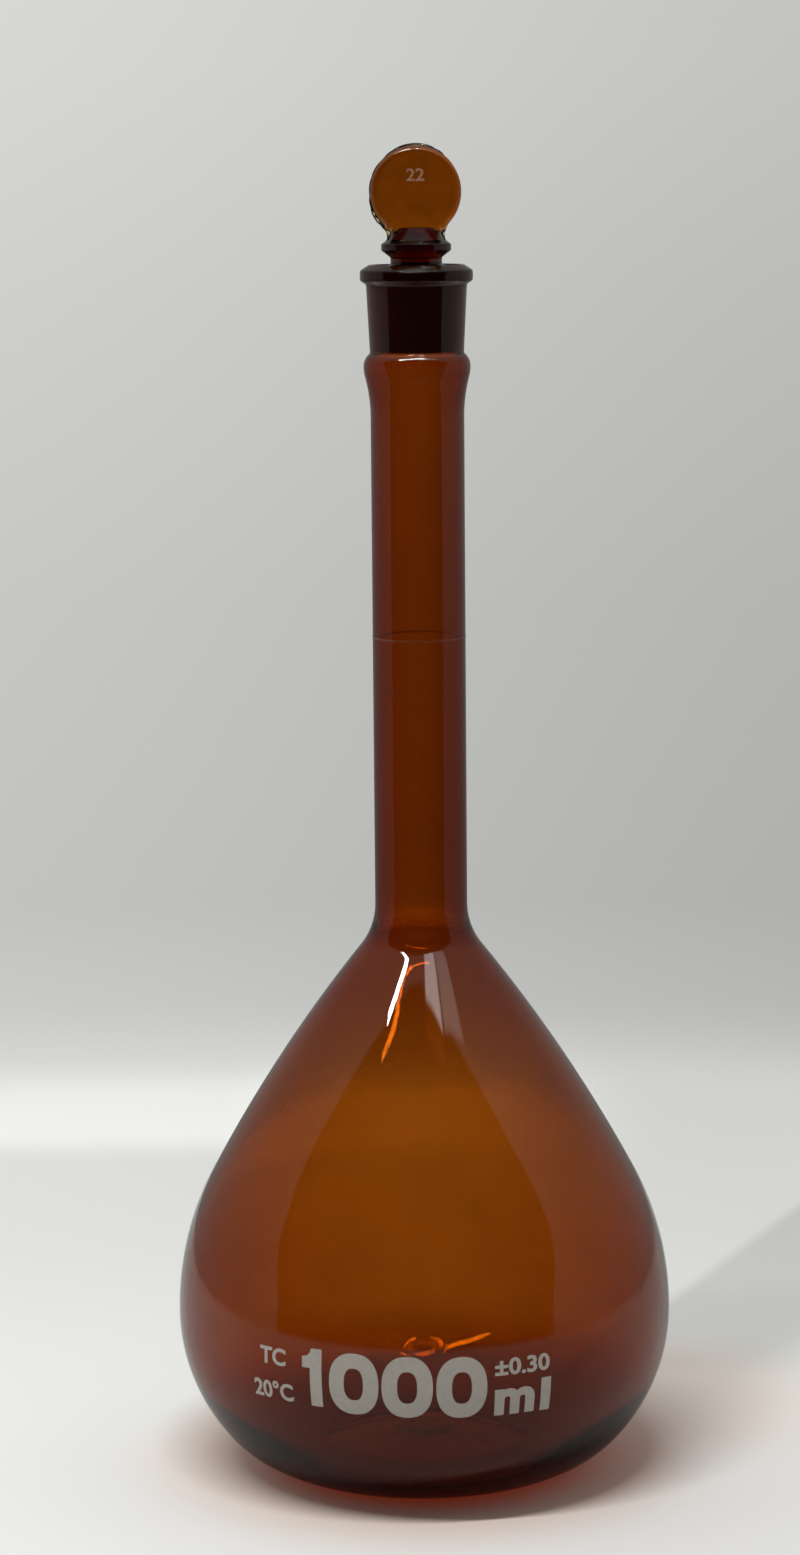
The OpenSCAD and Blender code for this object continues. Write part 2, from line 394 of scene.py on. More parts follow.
def flask_glass(material):
    """Bulb, neck and mouth as the one skin that the flame leaves."""
    profile = flask_profile()
    bm = bmesh.new()
    rings = []
    for p in profile[1:-1]:
        ring = []
        for k in range(AROUND):
            ring.append(bm.verts.new(turned(p[0], 2 * math.pi * k / AROUND, p[1])))
        rings.append(ring)
    start = bm.verts.new((0, 0, profile[0][1] * MM))
    end = bm.verts.new((0, 0, profile[-1][1] * MM))
    close_rings(bm, rings, start, end)
    return finish_mesh(bm, "flask_glass", material)


# --- stopper -----------------------------------------------------------------------------

PLUG_FOOT_Z = SOCKET_Z + PLUG_SHORT
PLUG_TOP_Z = RIM_Z - PLUG_SINK
COLLAR_Z = RIM_Z + COLLAR_UP
COLLAR_EDGE_Z = COLLAR_Z + FLARE_H
BOSS_Z = COLLAR_EDGE_Z + COLLAR_EDGE_H + COLLAR_TOP_H
BOSS_TOP_Z = BOSS_Z + BOSS_H
DISC_Z = BOSS_Z + DISC_UP + DISC_R
WEB_CORNER_X = WEB_HALF_W + WEB_R
WEB_CORNER_Z = DISC_Z - math.sqrt((DISC_R + WEB_R) ** 2 - WEB_CORNER_X ** 2)
WEB_FOOT_Z = COLLAR_EDGE_Z + COLLAR_EDGE_H
TOUCH = DISC_R / (DISC_R + WEB_R)
TOUCH_Z = DISC_Z + (WEB_CORNER_Z - DISC_Z) * TOUCH

FLASH_TOP_Z = DISC_Z + DISC_R + 0.62
FLASH_HALF = 0.5
FLASH_REACH = ((-90, -0.4), (-15, -0.3), (0, 0.0), (30, 0.05), (45, 0.1), (60, 0.38),
               (75, 0.58), (90, 0.62), (105, 0.6), (120, 0.45), (137, 0.22), (150, 0.34),
               (165, 0.36), (180, 0.34), (195, 0.6), (207, 0.95), (217, 0.95), (225, 0.75),
               (235, 0.1), (245, -0.4), (270, -0.4))

STOPPER_AROUND = 288
EDGE_ROUND = 1.7
EDGE_LEFT = 0.42
LEG_EDGE_LEFT = 0.14
BLEND = 0.9


def plug_r(z):
    return JOINT_R - (RIM_Z - z) * TAPER - PLUG_GAP


def stem_outline():
    """From the middle of the plug's foot to the middle of the boss."""
    path = [(0, PLUG_FOOT_Z, 0), (plug_r(PLUG_FOOT_Z), PLUG_FOOT_Z, PLUG_ROUND),
            (plug_r(PLUG_TOP_Z), PLUG_TOP_Z, PLUG_ROUND),
            (SHANK_R, PLUG_TOP_Z + SHANK_SLOPE_H, STEM_ROUND), (SHANK_R, COLLAR_Z, STEM_ROUND),
            (COLLAR_R, COLLAR_EDGE_Z, STEM_ROUND),
            (COLLAR_R, COLLAR_EDGE_Z + COLLAR_EDGE_H, STEM_ROUND), (BOSS_R, BOSS_Z, STEM_ROUND),
            (BOSS_TOP_R, BOSS_TOP_Z - 0.3, STEM_ROUND), (0, BOSS_TOP_Z, 0)]
    return thinned(fire_polished(rounded(path), 0.2, 0.05), 0.003, 0.6)


def edge_depth(x, z):
    """Distance inside the outline of disc and web, seen from the front. Negative is outside."""
    depth = DISC_R - math.hypot(x, z - DISC_Z)
    if WEB_FOOT_Z - 1 < z < TOUCH_Z:
        web = math.hypot(WEB_CORNER_X - abs(x), z - WEB_CORNER_Z) - WEB_R
        depth = max(depth, min(web, 8.0))
    return depth


def flash_reach(x, z):
    """How far the glass squeezed out between the halves of the mould stands proud of the outline."""
    angle = math.degrees(math.atan2(z - DISC_Z, x))
    if angle < -90:
        angle += 360
    reach = FLASH_REACH[-1][1]
    for a, b in zip(FLASH_REACH, FLASH_REACH[1:]):
        if a[0] <= angle < b[0]:
            reach = a[1] + (b[1] - a[1]) * smooth_step(a[0], b[0], angle)
    lumps = noise.noise(Vector((x * 0.55, 1.7, z * 0.55)))
    return reach - 0.16 * max(0.0, lumps) * smooth_step(2, 5, abs(x))


def half_thickness(x, z):
    depth = edge_depth(x, z)
    thin = depth + flash_reach(x, z)
    fin = FLASH_HALF * math.sqrt(min(1.0, thin / 0.45)) if thin > 0 else -1.0
    if depth <= 0:
        return fin
    spread = smooth_step(WEB_FOOT_Z, DISC_Z - 4, z)
    half = (WEB_T + (DISC_T - WEB_T) * spread) / 2
    left = LEG_EDGE_LEFT + (EDGE_LEFT - LEG_EDGE_LEFT) * smooth_step(WEB_FOOT_Z + 2, DISC_Z - 7, z)
    corner = smooth_step(5.2, 6.6, abs(x)) * (1 - smooth_step(BOSS_Z + 1.8, BOSS_Z + 4.0, z))
    half *= 1 - 0.88 * corner
    t = min(1.0, depth / EDGE_ROUND)
    return max(fin, half * (left + (1 - left) * math.sqrt(1 - (1 - t) ** 2)))


def grip_reach(turn, z):
    """How far disc and web reach from the axis in one direction at height z."""
    if z < WEB_FOOT_Z - 0.9:
        return 0.0
    c = math.sin(turn)
    s = abs(math.cos(turn))
    low = 0.0
    high = 14.0
    if half_thickness(0.0, z) <= 0:
        return 0.0
    for _ in range(26):
        mid = (low + high) / 2
        if mid * s > half_thickness(mid * c, z):
            high = mid
        else:
            low = mid
    return low


def smooth_max(a, b, blend):
    h = max(blend - abs(a - b), 0.0) / blend
    return max(a, b) + h * h * blend / 4


def ring_turns(spread):
    """Directions round the stem, closer together towards the narrow ends of the disc."""
    out = []
    for k in range(STOPPER_AROUND):
        even = 2 * math.pi * k / STOPPER_AROUND
        out.append(math.atan2(math.sin(even) * spread, math.cos(even)))
    return out


def stopper_rings():
    """Radius of the stem and height of each ring, from the foot of the plug to the top of the disc."""
    rings = [(r, z) for r, z in stem_outline()[1:-1]]
    top_turn = math.asin((BOSS_TOP_Z + 0.05 - DISC_Z) / (FLASH_TOP_Z - DISC_Z))
    steps = 130
    for i in range(steps):
        t = top_turn + (math.radians(88.5) - top_turn) * i / (steps - 1)
        rings.append((0.0, DISC_Z + (FLASH_TOP_Z - DISC_Z) * math.sin(t)))
    return rings


def stopper_glass(material):
    """The pressed stopper as one skin lofted through rings up its axis."""
    bm = bmesh.new()
    rings = []
    for r, z in stopper_rings():
        spread = 1 + 4.0 * smooth_step(COLLAR_EDGE_Z, BOSS_TOP_Z + 2, z)
        ring = []
        for turn in ring_turns(spread):
            grip = grip_reach(turn, z)
            reach = smooth_max(r, grip, BLEND) if grip > 0 and r > 0 else max(r, grip)
            ring.append(bm.verts.new(turned(reach, turn, z)))
        rings.append(ring)
    start = bm.verts.new((0, 0, PLUG_FOOT_Z * MM))
    end = bm.verts.new((0, 0, (FLASH_TOP_Z - 0.002) * MM))
    close_rings(bm, rings, start, end)
    return finish_mesh(bm, "stopper_glass", material)


MARK_PROUD = 0.05
MARK_THICK = 0.08


def size_mark(material):
    """The size of the ground joint, pressed into the front of the disc."""
    bm = bmesh.new()
    text_faces(bm, "22", -2.35, 2.15, DISC_Z + 2.6, DISC_Z + 5.7, 0.02)
    bmesh.ops.triangulate(bm, faces=bm.faces)
    for v in bm.verts:
        v.co = Vector((v.co[0] * MM, -(DISC_T / 2 + MARK_PROUD) * MM, v.co[1] * MM))
    return thickened(mesh_object(bm, "size_mark", material), MARK_THICK, 0)


# --- materials -------------------------------------------------------------------------------

GLASS_IOR = 1.5
AMBER_TINT = (0.845, 0.65, 0.25)
AMBER_DENSITY = 2000.0
PRESSED_TINT = (0.848, 0.687, 0.27)
PRESSED_DENSITY = 1600.0
# Painted shade: the ground inside of the mouth is drawn near-black, far darker than the ground plug,
# for the dark of the seated joint.
GROUND_MOUTH_SHADED_TINT = (0.028, 0.018, 0.016, 1)
GROUND_PLUG_TINT = (0.24, 0.125, 0.07, 1)
GROUND_BODY = 0.75
INK = (0.385, 0.352, 0.315)
INK_WORN = 0.86
RING_INK = (0.16, 0.045, 0.018)
RING_WORN = 0.75
RING_COVER = 0.22
FROST_DARK = (0.3, 0.13, 0.07)
FROST_LIGHT = (0.46, 0.24, 0.15)
FROST_COVER = 0.8
BLACK = (0, 0, 0, 1)


def new_material(name):
    material = bpy.data.materials.new(name)
    material.use_nodes = True
    tree = material.node_tree
    tree.nodes.clear()
    return material, tree


def add(tree, kind, **settings):
    node = tree.nodes.new(kind)
    for key, value in settings.items():
        setattr(node, key, value)
    return node


def surface_nodes(tree):
    """The output, surface and object coordinates that every material starts from."""
    output = add(tree, "ShaderNodeOutputMaterial")
    surface = add(tree, "ShaderNodeBsdfPrincipled")
    coords = add(tree, "ShaderNodeTexCoord").outputs["Object"]
    return output, surface, coords


def axes_of(tree, vector):
    node = add(tree, "ShaderNodeSeparateXYZ")
    tree.links.new(vector, node.inputs[0])
    return node


def calc(tree, operation, a, b=None, c=None):
    """A Math node on sockets or numbers."""
    node = add(tree, "ShaderNodeMath", operation=operation)
    for socket, value in zip(node.inputs, (a, b, c)):
        if value is None:
            continue
        if isinstance(value, (int, float)):
            socket.default_value = value
        else:
            tree.links.new(value, socket)
    return node.outputs[0]


def product(tree, first, *others):
    for other in others:
        first = calc(tree, "MULTIPLY", first, other)
    return first


def plane_radius(tree, x, y):
    squares = calc(tree, "ADD", product(tree, x, x), product(tree, y, y))
    return calc(tree, "SQRT", squares)


def ramped(tree, value, low, high, start=0.0, end=1.0):
    """A smooth step of value between low and high."""
    node = add(tree, "ShaderNodeMapRange", interpolation_type="SMOOTHSTEP")
    tree.links.new(value, node.inputs["Value"])
    node.inputs["From Min"].default_value = low
    node.inputs["From Max"].default_value = high
    node.inputs["To Min"].default_value = start
    node.inputs["To Max"].default_value = end
    return node.outputs["Result"]


def curve_of(tree, value, low, high, stops):
    """A grey level that follows (position, level) stops along value."""
    scaled = calc(tree, "DIVIDE", calc(tree, "SUBTRACT", value, low), high - low)
    node = add(tree, "ShaderNodeValToRGB")
    ramp = node.color_ramp
    while len(ramp.elements) < len(stops):
        ramp.elements.new(0.5)
    for element, (position, level) in zip(ramp.elements, stops):
        element.position = (position - low) / (high - low)
        element.color = (level, level, level, 1)
    tree.links.new(scaled, node.inputs["Fac"])
    return node.outputs["Color"]


def two_tone(tree, value, low, high, dark, light):
    """The colour dark where value is under low, running to light above high."""
    node = add(tree, "ShaderNodeValToRGB")
    for element, position, colour in zip(node.color_ramp.elements, (low, high), (dark, light)):
        element.position = position
        element.color = (*colour, 1)
    tree.links.new(value, node.inputs["Fac"])
    return node.outputs["Color"]


def noise_of(tree, vector, scale, detail=3.0, roughness=0.5):
    node = add(tree, "ShaderNodeTexNoise")
    node.inputs["Scale"].default_value = scale
    node.inputs["Detail"].default_value = detail
    node.inputs["Roughness"].default_value = roughness
    tree.links.new(vector, node.inputs["Vector"])
    return node.outputs["Fac"]


def bumped(tree, surface, height, strength, depth):
    bump = add(tree, "ShaderNodeBump")
    bump.inputs["Strength"].default_value = strength
    bump.inputs["Distance"].default_value = depth
    tree.links.new(height, bump.inputs["Height"])
    tree.links.new(bump.outputs["Normal"], surface.inputs["Normal"])


def blend_colour(tree, factor, base, top):
    """The base colour socket where factor is 0 and the colour top where it is 1."""
    node = add(tree, "ShaderNodeMix", data_type="RGBA")
    tree.links.new(factor, node.inputs["Factor"])
    tree.links.new(base, node.inputs["A"])
    node.inputs["B"].default_value = top
    return node.outputs["Result"]


def lit_through(tree, shader):
    """Lets light on its way to matt surfaces pass, so that the amber inside colours the shadow."""
    path = add(tree, "ShaderNodeLightPath")
    clear = add(tree, "ShaderNodeBsdfTransparent")
    for kind in ("Is Diffuse Ray", "Is Shadow Ray"):
        blend = add(tree, "ShaderNodeMixShader")
        tree.links.new(path.outputs[kind], blend.inputs["Fac"])
        tree.links.new(shader, blend.inputs[1])
        tree.links.new(clear.outputs[0], blend.inputs[2])
        shader = blend.outputs[0]
    return shader


def drawn_waves(tree, coords):
    """Faint waves, drawn out along the axis as the glass was."""
    stretched = add(tree, "ShaderNodeMapping")
    stretched.inputs["Scale"].default_value = (1.0, 1.0, 0.12)
    tree.links.new(coords, stretched.inputs["Vector"])
    return noise_of(tree, stretched.outputs["Vector"], 90, 2.0)


def absorbing(tree, tint, density):
    volume = add(tree, "ShaderNodeVolumeAbsorption")
    volume.inputs["Color"].default_value = (*tint, 1)
    volume.inputs["Density"].default_value = density
    return volume.outputs[0]


def amber_glass(name, tint, density, ripple, cloud_size, cloud_low, ground, ground_tint):
    """Clear amber glass. ground(tree, position) gives where its surface is ground matt."""
    material, tree = new_material(name)
    output, surface, coords = surface_nodes(tree)
    surface.inputs["IOR"].default_value = GLASS_IOR
    matt = ground(tree, axes_of(tree, coords))
    cloud = noise_of(tree, coords, cloud_size, 4.0)
    clear = two_tone(tree, cloud, 0.3, 0.6, (cloud_low,) * 3, (1, 1, 1))
    tree.links.new(blend_colour(tree, matt, clear, ground_tint), surface.inputs["Base Color"])
    body = calc(tree, "SUBTRACT", 1.0, product(tree, matt, GROUND_BODY))
    tree.links.new(body, surface.inputs["Transmission Weight"])
    rough = calc(tree, "MULTIPLY_ADD", noise_of(tree, coords, 2600, 2.0), 0.1, 0.33)
    tree.links.new(product(tree, matt, rough), surface.inputs["Roughness"])
    bumped(tree, surface, drawn_waves(tree, coords), ripple, 0.0006)
    tree.links.new(lit_through(tree, surface.outputs[0]), output.inputs["Surface"])
    tree.links.new(absorbing(tree, tint, density), output.inputs["Volume"])
    return material


def ground_mouth(tree, position):
    """The tapered inside of the mouth."""
    radius = plane_radius(tree, position.outputs["X"], position.outputs["Y"])
    inside = ramped(tree, radius, 0.01108, 0.01102)
    above = ramped(tree, position.outputs["Z"], (SOCKET_Z + 0.1) * MM, (SOCKET_Z + 0.5) * MM)
    return product(tree, inside, above)


def ground_plug(tree, position):
    """The tapered side of the plug."""
    z = position.outputs["Z"]
    below = ramped(tree, z, (PLUG_TOP_Z - 0.5) * MM, (PLUG_TOP_Z - 0.9) * MM)
    above = ramped(tree, z, (PLUG_FOOT_Z + 0.4) * MM, (PLUG_FOOT_Z + 0.9) * MM)
    return product(tree, below, above)


def enamel(name, colour, worn, cover=1.0):
    """Fired enamel: chalky, a little uneven where the ink ran thin."""
    material, tree = new_material(name)
    output, surface, coords = surface_nodes(tree)
    mottle = noise_of(tree, coords, 900, 4.0, 0.65)
    thin_ink = tuple(c * worn for c in colour)
    tree.links.new(two_tone(tree, mottle, 0.3, 0.7, thin_ink, colour), surface.inputs["Base Color"])
    surface.inputs["IOR"].default_value = GLASS_IOR
    surface.inputs["Alpha"].default_value = cover
    tree.links.new(calc(tree, "MULTIPLY_ADD", mottle, 0.25, 0.4), surface.inputs["Roughness"])
    bumped(tree, surface, mottle, 0.3, 0.00005)
    tree.links.new(surface.outputs[0], output.inputs["Surface"])
    return material


def pressed_frost():
    """Figures with the matt skin of the mould, through which the amber still shows."""
    material, tree = new_material("pressed_frost")
    output, surface, coords = surface_nodes(tree)
    mottle = noise_of(tree, coords, 1500, 3.0, 0.6)
    skin = two_tone(tree, mottle, 0.3, 0.7, FROST_DARK, FROST_LIGHT)
    tree.links.new(skin, surface.inputs["Base Color"])
    surface.inputs["Roughness"].default_value = 0.5
    surface.inputs["Alpha"].default_value = FROST_COVER
    tree.links.new(surface.outputs[0], output.inputs["Surface"])
    return material


# --- print --------------------------------------------------------------------------------------

PRINT_PROUD = 0.035
PRINT_THICK = 0.03
OUTER_LINE = []


def bulb_radius(z):
    """Radius of the glass at height z, both in millimetres."""
    if not OUTER_LINE:
        line = thinned(fire_polished(outer_outline(), FIRE_POLISH))
        OUTER_LINE.extend(p for p in line if p[0] > 40 and p[1] < 90)
    for a, b in zip(OUTER_LINE, OUTER_LINE[1:]):
        if a[1] <= z <= b[1]:
            return a[0] + (b[0] - a[0]) * (z - a[1]) / (b[1] - a[1]) - print_inset(z)
    return BULB_R


def on_bulb(u, z, proud):
    """A point of the print: u runs round the bulb from the front, in mm at full width."""
    return Vector(turned(bulb_radius(z) + proud, u / BULB_R, z))


def oval(cx, cz, half_w, half_h, power, count=56):
    """Points round a squarish oval."""
    out = []
    for k in range(count):
        t = 2 * math.pi * k / count
        c = math.cos(t)
        s = math.sin(t)
        out.append((cx + half_w * math.copysign(abs(c) ** (2 / power), c),
                    cz + half_h * math.copysign(abs(s) ** (2 / power), s)))
    return out


def zero_faces(bm, cx, cz, half_w, half_h, hole_w, hole_h):
    outer = [bm.verts.new((u, z, 0)) for u, z in oval(cx, cz, half_w, half_h, 2.35)]
    inner = [bm.verts.new((u, z, 0)) for u, z in oval(cx, cz, hole_w, hole_h, 2.5)]
    for k in range(len(outer)):
        j = (k + 1) % len(outer)
        bm.faces.new((outer[k], outer[j], inner[j], inner[k]))


def joined_faces(bm, points, faces):
    """Faces of points given by their numbers."""
    made = [bm.verts.new((u, z, 0)) for u, z in points]
    for face in faces:
        bm.faces.new([made[i] for i in face])


def figure_one(bm, left, right, foot, top):
    """A heavy figure one with a slab flag."""
    w = right - left
    h = top - foot
    stem = left + 0.40 * w
    knee = left + 0.24 * w
    flag_foot = top - 0.335 * h
    points = [(stem, foot), (right, foot), (right, top), (left + 0.46 * w, top),
              (stem, top - 0.075 * h), (knee, top - 0.13 * h), (left, top - 0.145 * h),
              (left, flag_foot), (knee, flag_foot), (stem, flag_foot)]
    joined_faces(bm, points, ((0, 1, 2, 3, 4, 9), (9, 4, 5, 8), (8, 5, 6, 7)))


def text_faces(bm, text, left, right, foot, top, weight):
    """Letters from Blender's own font, fitted to a box on the bulb."""
    curve = bpy.data.curves.new("letters", "FONT")
    curve.body = text
    curve.resolution_u = 6
    curve.offset = weight
    carrier = add_object("letters", curve)
    bpy.context.view_layer.update()
    mesh = carrier.to_mesh()
    lows = [min(v.co[i] for v in mesh.vertices) for i in range(2)]
    highs = [max(v.co[i] for v in mesh.vertices) for i in range(2)]
    made = []
    for v in mesh.vertices:
        u = left + (right - left) * (v.co[0] - lows[0]) / (highs[0] - lows[0])
        z = foot + (top - foot) * (v.co[1] - lows[1]) / (highs[1] - lows[1])
        made.append(bm.verts.new((u, z, 0)))
    for polygon in mesh.polygons:
        bm.faces.new([made[i] for i in polygon.vertices])
    carrier.to_mesh_clear()
    bpy.data.objects.remove(carrier)
    bpy.data.curves.remove(curve)


def wrap_print(bm, name, material):
    """Cuts the flat artwork into small faces, bends it on to the bulb and gives it thickness."""
    bmesh.ops.triangulate(bm, faces=bm.faces)
    for axis in range(2):
        places = [v.co[axis] for v in bm.verts]
        cut = math.ceil(min(places))
        while cut < max(places):
            spot = Vector((0, 0, 0))
            spot[axis] = cut
            across = Vector((0, 0, 0))
            across[axis] = 1
            geometry = bm.verts[:] + bm.edges[:] + bm.faces[:]
            bmesh.ops.bisect_plane(bm, geom=geometry, plane_co=spot, plane_no=across)
            cut += 1
    for v in bm.verts:
        v.co = on_bulb(v.co[0], v.co[1], PRINT_PROUD)
    bmesh.ops.recalc_face_normals(bm, faces=bm.faces)
    return thickened(mesh_object(bm, name, material), PRINT_THICK, -1)


def capacity_print(material):
    """1000 ml, set along the bulb below its widest level."""
    bm = bmesh.new()
    figure_one(bm, -31.3, -25.95, 31.15, 45.85)
    for cx, cz in ((-17.7, 37.9), (-4.35, 37.65), (9.05, 37.4)):
        zero_faces(bm, cx, cz, 6.3, 7.8, 2.45, 4.05)
    text_faces(bm, "m", 17.3, 27.9, 29.5, 36.4, 0.045)
    joined_faces(bm, [(29.6, 29.4), (32.3, 29.3), (32.3, 38.0), (29.6, 38.0)], ((0, 1, 2, 3),))
    return wrap_print(bm, "print_capacity", material)


def tolerance_print(material):
    bm = bmesh.new()
    text_faces(bm, "±0.30", 17.3, 31.9, 39.8, 44.1, 0.03)
    return wrap_print(bm, "print_tolerance", material)


def temperature_print(material):
    bm = bmesh.new()
    text_faces(bm, "TC", -44.0, -36.1, 40.1, 44.5, 0.03)
    text_faces(bm, "20°C", -46.4, -34.2, 31.2, 36.0, 0.03)
    return wrap_print(bm, "print_temperature", material)


# --- studio ---------------------------------------------------------------------------------------

SHEET_LOW = (0.97, 0.97, 0.95)
SHEET_HIGH = (1.0, 1.0, 0.98)
# Painted shade on the sheet where polished glass mirrors it.
SHEET_DIM_FRONT = 0.60
SHEET_DIM_BACK = 0.36
# A painted shadow stripe across the sheet.
STRIPE_X = 0.91
STRIPE_Y = -0.415
STRIPE_SHADE = 0.19
# Painted light falloff on the sheet: paler to the left than to the right, and dimmer far back.
SHEET_PAINTED_LIGHT_LEFT = 0.825
SHEET_PAINTED_LIGHT_RIGHT = 0.755
SHEET_PAINTED_LIGHT_FAR = 0.92
# A painted warm glow of amber light on the sheet round the foot of the flask.
GLOW_X = 0.05
GLOW_Y = 0.045
PAINTED_GLOW_TINT = (1.0, 0.87, 0.8, 1)


def dimmed_in_glass(tree, y):
    """Painted shade: how much dimmer the sheet is drawn in polished glass, which mirrors it towards
    the dark front.
    """
    path = add(tree, "ShaderNodeLightPath")
    straight = product(tree, path.outputs["Is Transmission Ray"], ramped(tree, y, -0.09, -0.05))
    mirrored = calc(tree, "SUBTRACT", path.outputs["Is Glossy Ray"], straight)
    return product(tree, mirrored, ramped(tree, y, -0.12, 0.12, SHEET_DIM_FRONT, SHEET_DIM_BACK))


def sheet_colour(tree, coords, x, y):
    """The tint of the sheet, with its painted light and shade and the painted warm glow round the
    foot.
    """
    tint = two_tone(tree, noise_of(tree, coords, 8, 2.0), 0.0, 1.0, SHEET_LOW, SHEET_HIGH)
    lit = calc(tree, "SUBTRACT", 1.0, dimmed_in_glass(tree, y))
    # painted light and shade from the sheet's level and its dimming in glass
    shade = product(tree, painted_sheet_light(tree, x, y), lit)
    seen = blend_colour(tree, calc(tree, "SUBTRACT", 1.0, shade), tint, BLACK)
    # painted warm glow, multiplied into the sheet's colour
    warm = add(tree, "ShaderNodeMix", data_type="RGBA", blend_type="MULTIPLY")
    tree.links.new(painted_glow_level(tree, x, y), warm.inputs["Factor"])
    tree.links.new(seen, warm.inputs["A"])
    warm.inputs["B"].default_value = PAINTED_GLOW_TINT
    return warm.outputs["Result"]


def pale_sheet():
    """A matt sheet that fades out into the backdrop."""
    material, tree = new_material("pale_sheet")
    output, surface, coords = surface_nodes(tree)
    surface.inputs["Roughness"].default_value = 0.9
    surface.inputs["Specular IOR Level"].default_value = 0.1
    position = axes_of(tree, coords)
    x = position.outputs["X"]
    y = position.outputs["Y"]
    tree.links.new(sheet_colour(tree, coords, x, y), surface.inputs["Base Color"])
    clear = add(tree, "ShaderNodeBsdfTransparent")
    blend = add(tree, "ShaderNodeMixShader")
    tree.links.new(ramped(tree, plane_radius(tree, x, y), 0.36, 0.54), blend.inputs["Fac"])
    tree.links.new(surface.outputs[0], blend.inputs[1])
    tree.links.new(clear.outputs[0], blend.inputs[2])
    tree.links.new(blend.outputs[0], output.inputs["Surface"])
    return material


def studio_floor():
    bm = bmesh.new()
    bmesh.ops.create_circle(bm, cap_ends=True, segments=96, radius=0.56)
    sheet = mesh_object(bm, "floor", pale_sheet())
    return sheet


def painted_stripe_shadow(tree, x, y):
    """A painted slanting band of shade, which fades in along its length."""
    across = calc(tree, "ADD", product(tree, x, STRIPE_X), product(tree, y, STRIPE_Y))
    along = calc(tree, "SUBTRACT", product(tree, y, STRIPE_X), product(tree, x, STRIPE_Y))
    return product(tree, ramped(tree, across, 0.006, 0.013),
                   ramped(tree, across, 0.045, 0.078, 1.0, 0.0),
                   ramped(tree, along, -0.04, 0.05, 0.0, STRIPE_SHADE))


def painted_sheet_light(tree, x, y):
    """Painted light and shade on the sheet: paler to the left and where it starts to rise, dimmer
    further back and in the painted stripe, with a painted pale pool behind the flask.
    """
    # painted light falloff: paler to the left, dimmer further back
    side = product(tree, ramped(tree, x, -0.15, 0.12, SHEET_PAINTED_LIGHT_LEFT, SHEET_PAINTED_LIGHT_RIGHT),
                   ramped(tree, y, -0.03, 0.24, 1.0, SHEET_PAINTED_LIGHT_FAR))
    middle = calc(tree, "ABSOLUTE", x)
    # painted pool of light on the sheet behind the flask
    behind = product(tree, ramped(tree, middle, 0.035, 0.075, 0.07, 0.0),
                     ramped(tree, y, 0.16, 0.24))
    # painted light on a band where the sheet starts to rise
    rise = product(tree, ramped(tree, y, 0.30, 0.345), ramped(tree, y, 0.40, 0.46, 1.0, 0.0),
                   ramped(tree, x, 0.09, -0.02, 0.0, 0.17))
    level = calc(tree, "ADD", calc(tree, "ADD", side, behind), rise)
    return product(tree, level, calc(tree, "SUBTRACT", 1.0, painted_stripe_shadow(tree, x, y)))


def distance(tree, x, y, centre_x, centre_y):
    """How far the point x, y of the sheet is from a centre."""
    dx = calc(tree, "SUBTRACT", x, centre_x)
    dy = calc(tree, "SUBTRACT", y, centre_y)
    return plane_radius(tree, dx, dy)


def painted_glow_level(tree, x, y):
    """Painted warm light where amber light warms the sheet: round the foot, and behind it to the
    right.
    """
    foot = ramped(tree, distance(tree, x, y, 0.0, 0.0), 0.052, 0.082, 1.0, 0.0)
    behind = ramped(tree, distance(tree, x, y, GLOW_X, GLOW_Y), 0.03, 0.075, 0.75, 0.0)
    return calc(tree, "MAXIMUM", foot, behind)


WALL_LEVEL = 0.25
CEILING_LEVEL = 0.38
DARK_LEVEL = 0.012
OPEN_FRONT = ((-0.3, 0.42), (0.07, 0.39), (0.5, 0.165), (0.56, 0.18), (0.84, 0.43), (0.95, 0.5))
PANELS = (((0.06, 0.28), -0.478, 0.0, 0.012, 4.5),
          ((0.305, 0.505), -0.615, 0.48, 0.012, 1.6))
BACKDROP = ((-0.3, 0.78), (-0.235, 0.74), (-0.223, 0.60), (-0.211, 0.535), (-0.186, 0.49),
            (-0.11, 0.515), (-0.0335, 0.565), (0.027, 0.615), (0.15, 0.66), (0.3, 0.70))
BACKDROP_TINT = (0.99, 1.0, 0.96)
SKY_LOW = 1.1
SKY_HIGH = 0.42
SKY_LEFT = 1.35
SKY_RIGHT = 0.92
SKY_FRONT = 0.15
SEEN_IN_FRONT = 0.4


def patch(tree, axes, x_range, y_low, slant, soft):
    """1 inside a patch of the sky overhead, in the direction's own x and y."""
    x = axes.outputs["X"]
    y = calc(tree, "SUBTRACT", axes.outputs["Y"], product(tree, x, slant))
    return product(tree, ramped(tree, axes.outputs["Z"], 0.74, 0.78),
                   ramped(tree, x, x_range[0] - soft, x_range[0] + soft),
                   ramped(tree, x, x_range[1] - soft, x_range[1] + soft, 1.0, 0.0),
                   ramped(tree, y, y_low - soft, y_low + soft),
                   ramped(tree, axes.outputs["Y"], -0.24, -0.20, 1.0, 0.0))


def blend_grey(tree, factor, base, top):
    """base where factor is 0 and top where it is 1."""
    node = add(tree, "ShaderNodeMix", data_type="FLOAT")
    for name, value in (("Factor", factor), ("A", base), ("B", top)):
        socket = node.inputs[name]
        if isinstance(value, (int, float)):
            socket.default_value = value
        else:
            tree.links.new(value, socket)
    return node.outputs["Result"]


def open_front(tree, axes, soft):
    """1 towards the unlit room in front, in the direction's own x, y and z."""
    x = axes.outputs["X"]
    y = axes.outputs["Y"]
    forward = calc(tree, "SUBTRACT", product(tree, y, -1.0), product(tree, x, 0.0875))
    limit = curve_of(tree, axes.outputs["Z"], -0.3, 0.95, OPEN_FRONT)
    return ramped(tree, calc(tree, "SUBTRACT", forward, limit), -soft, soft)


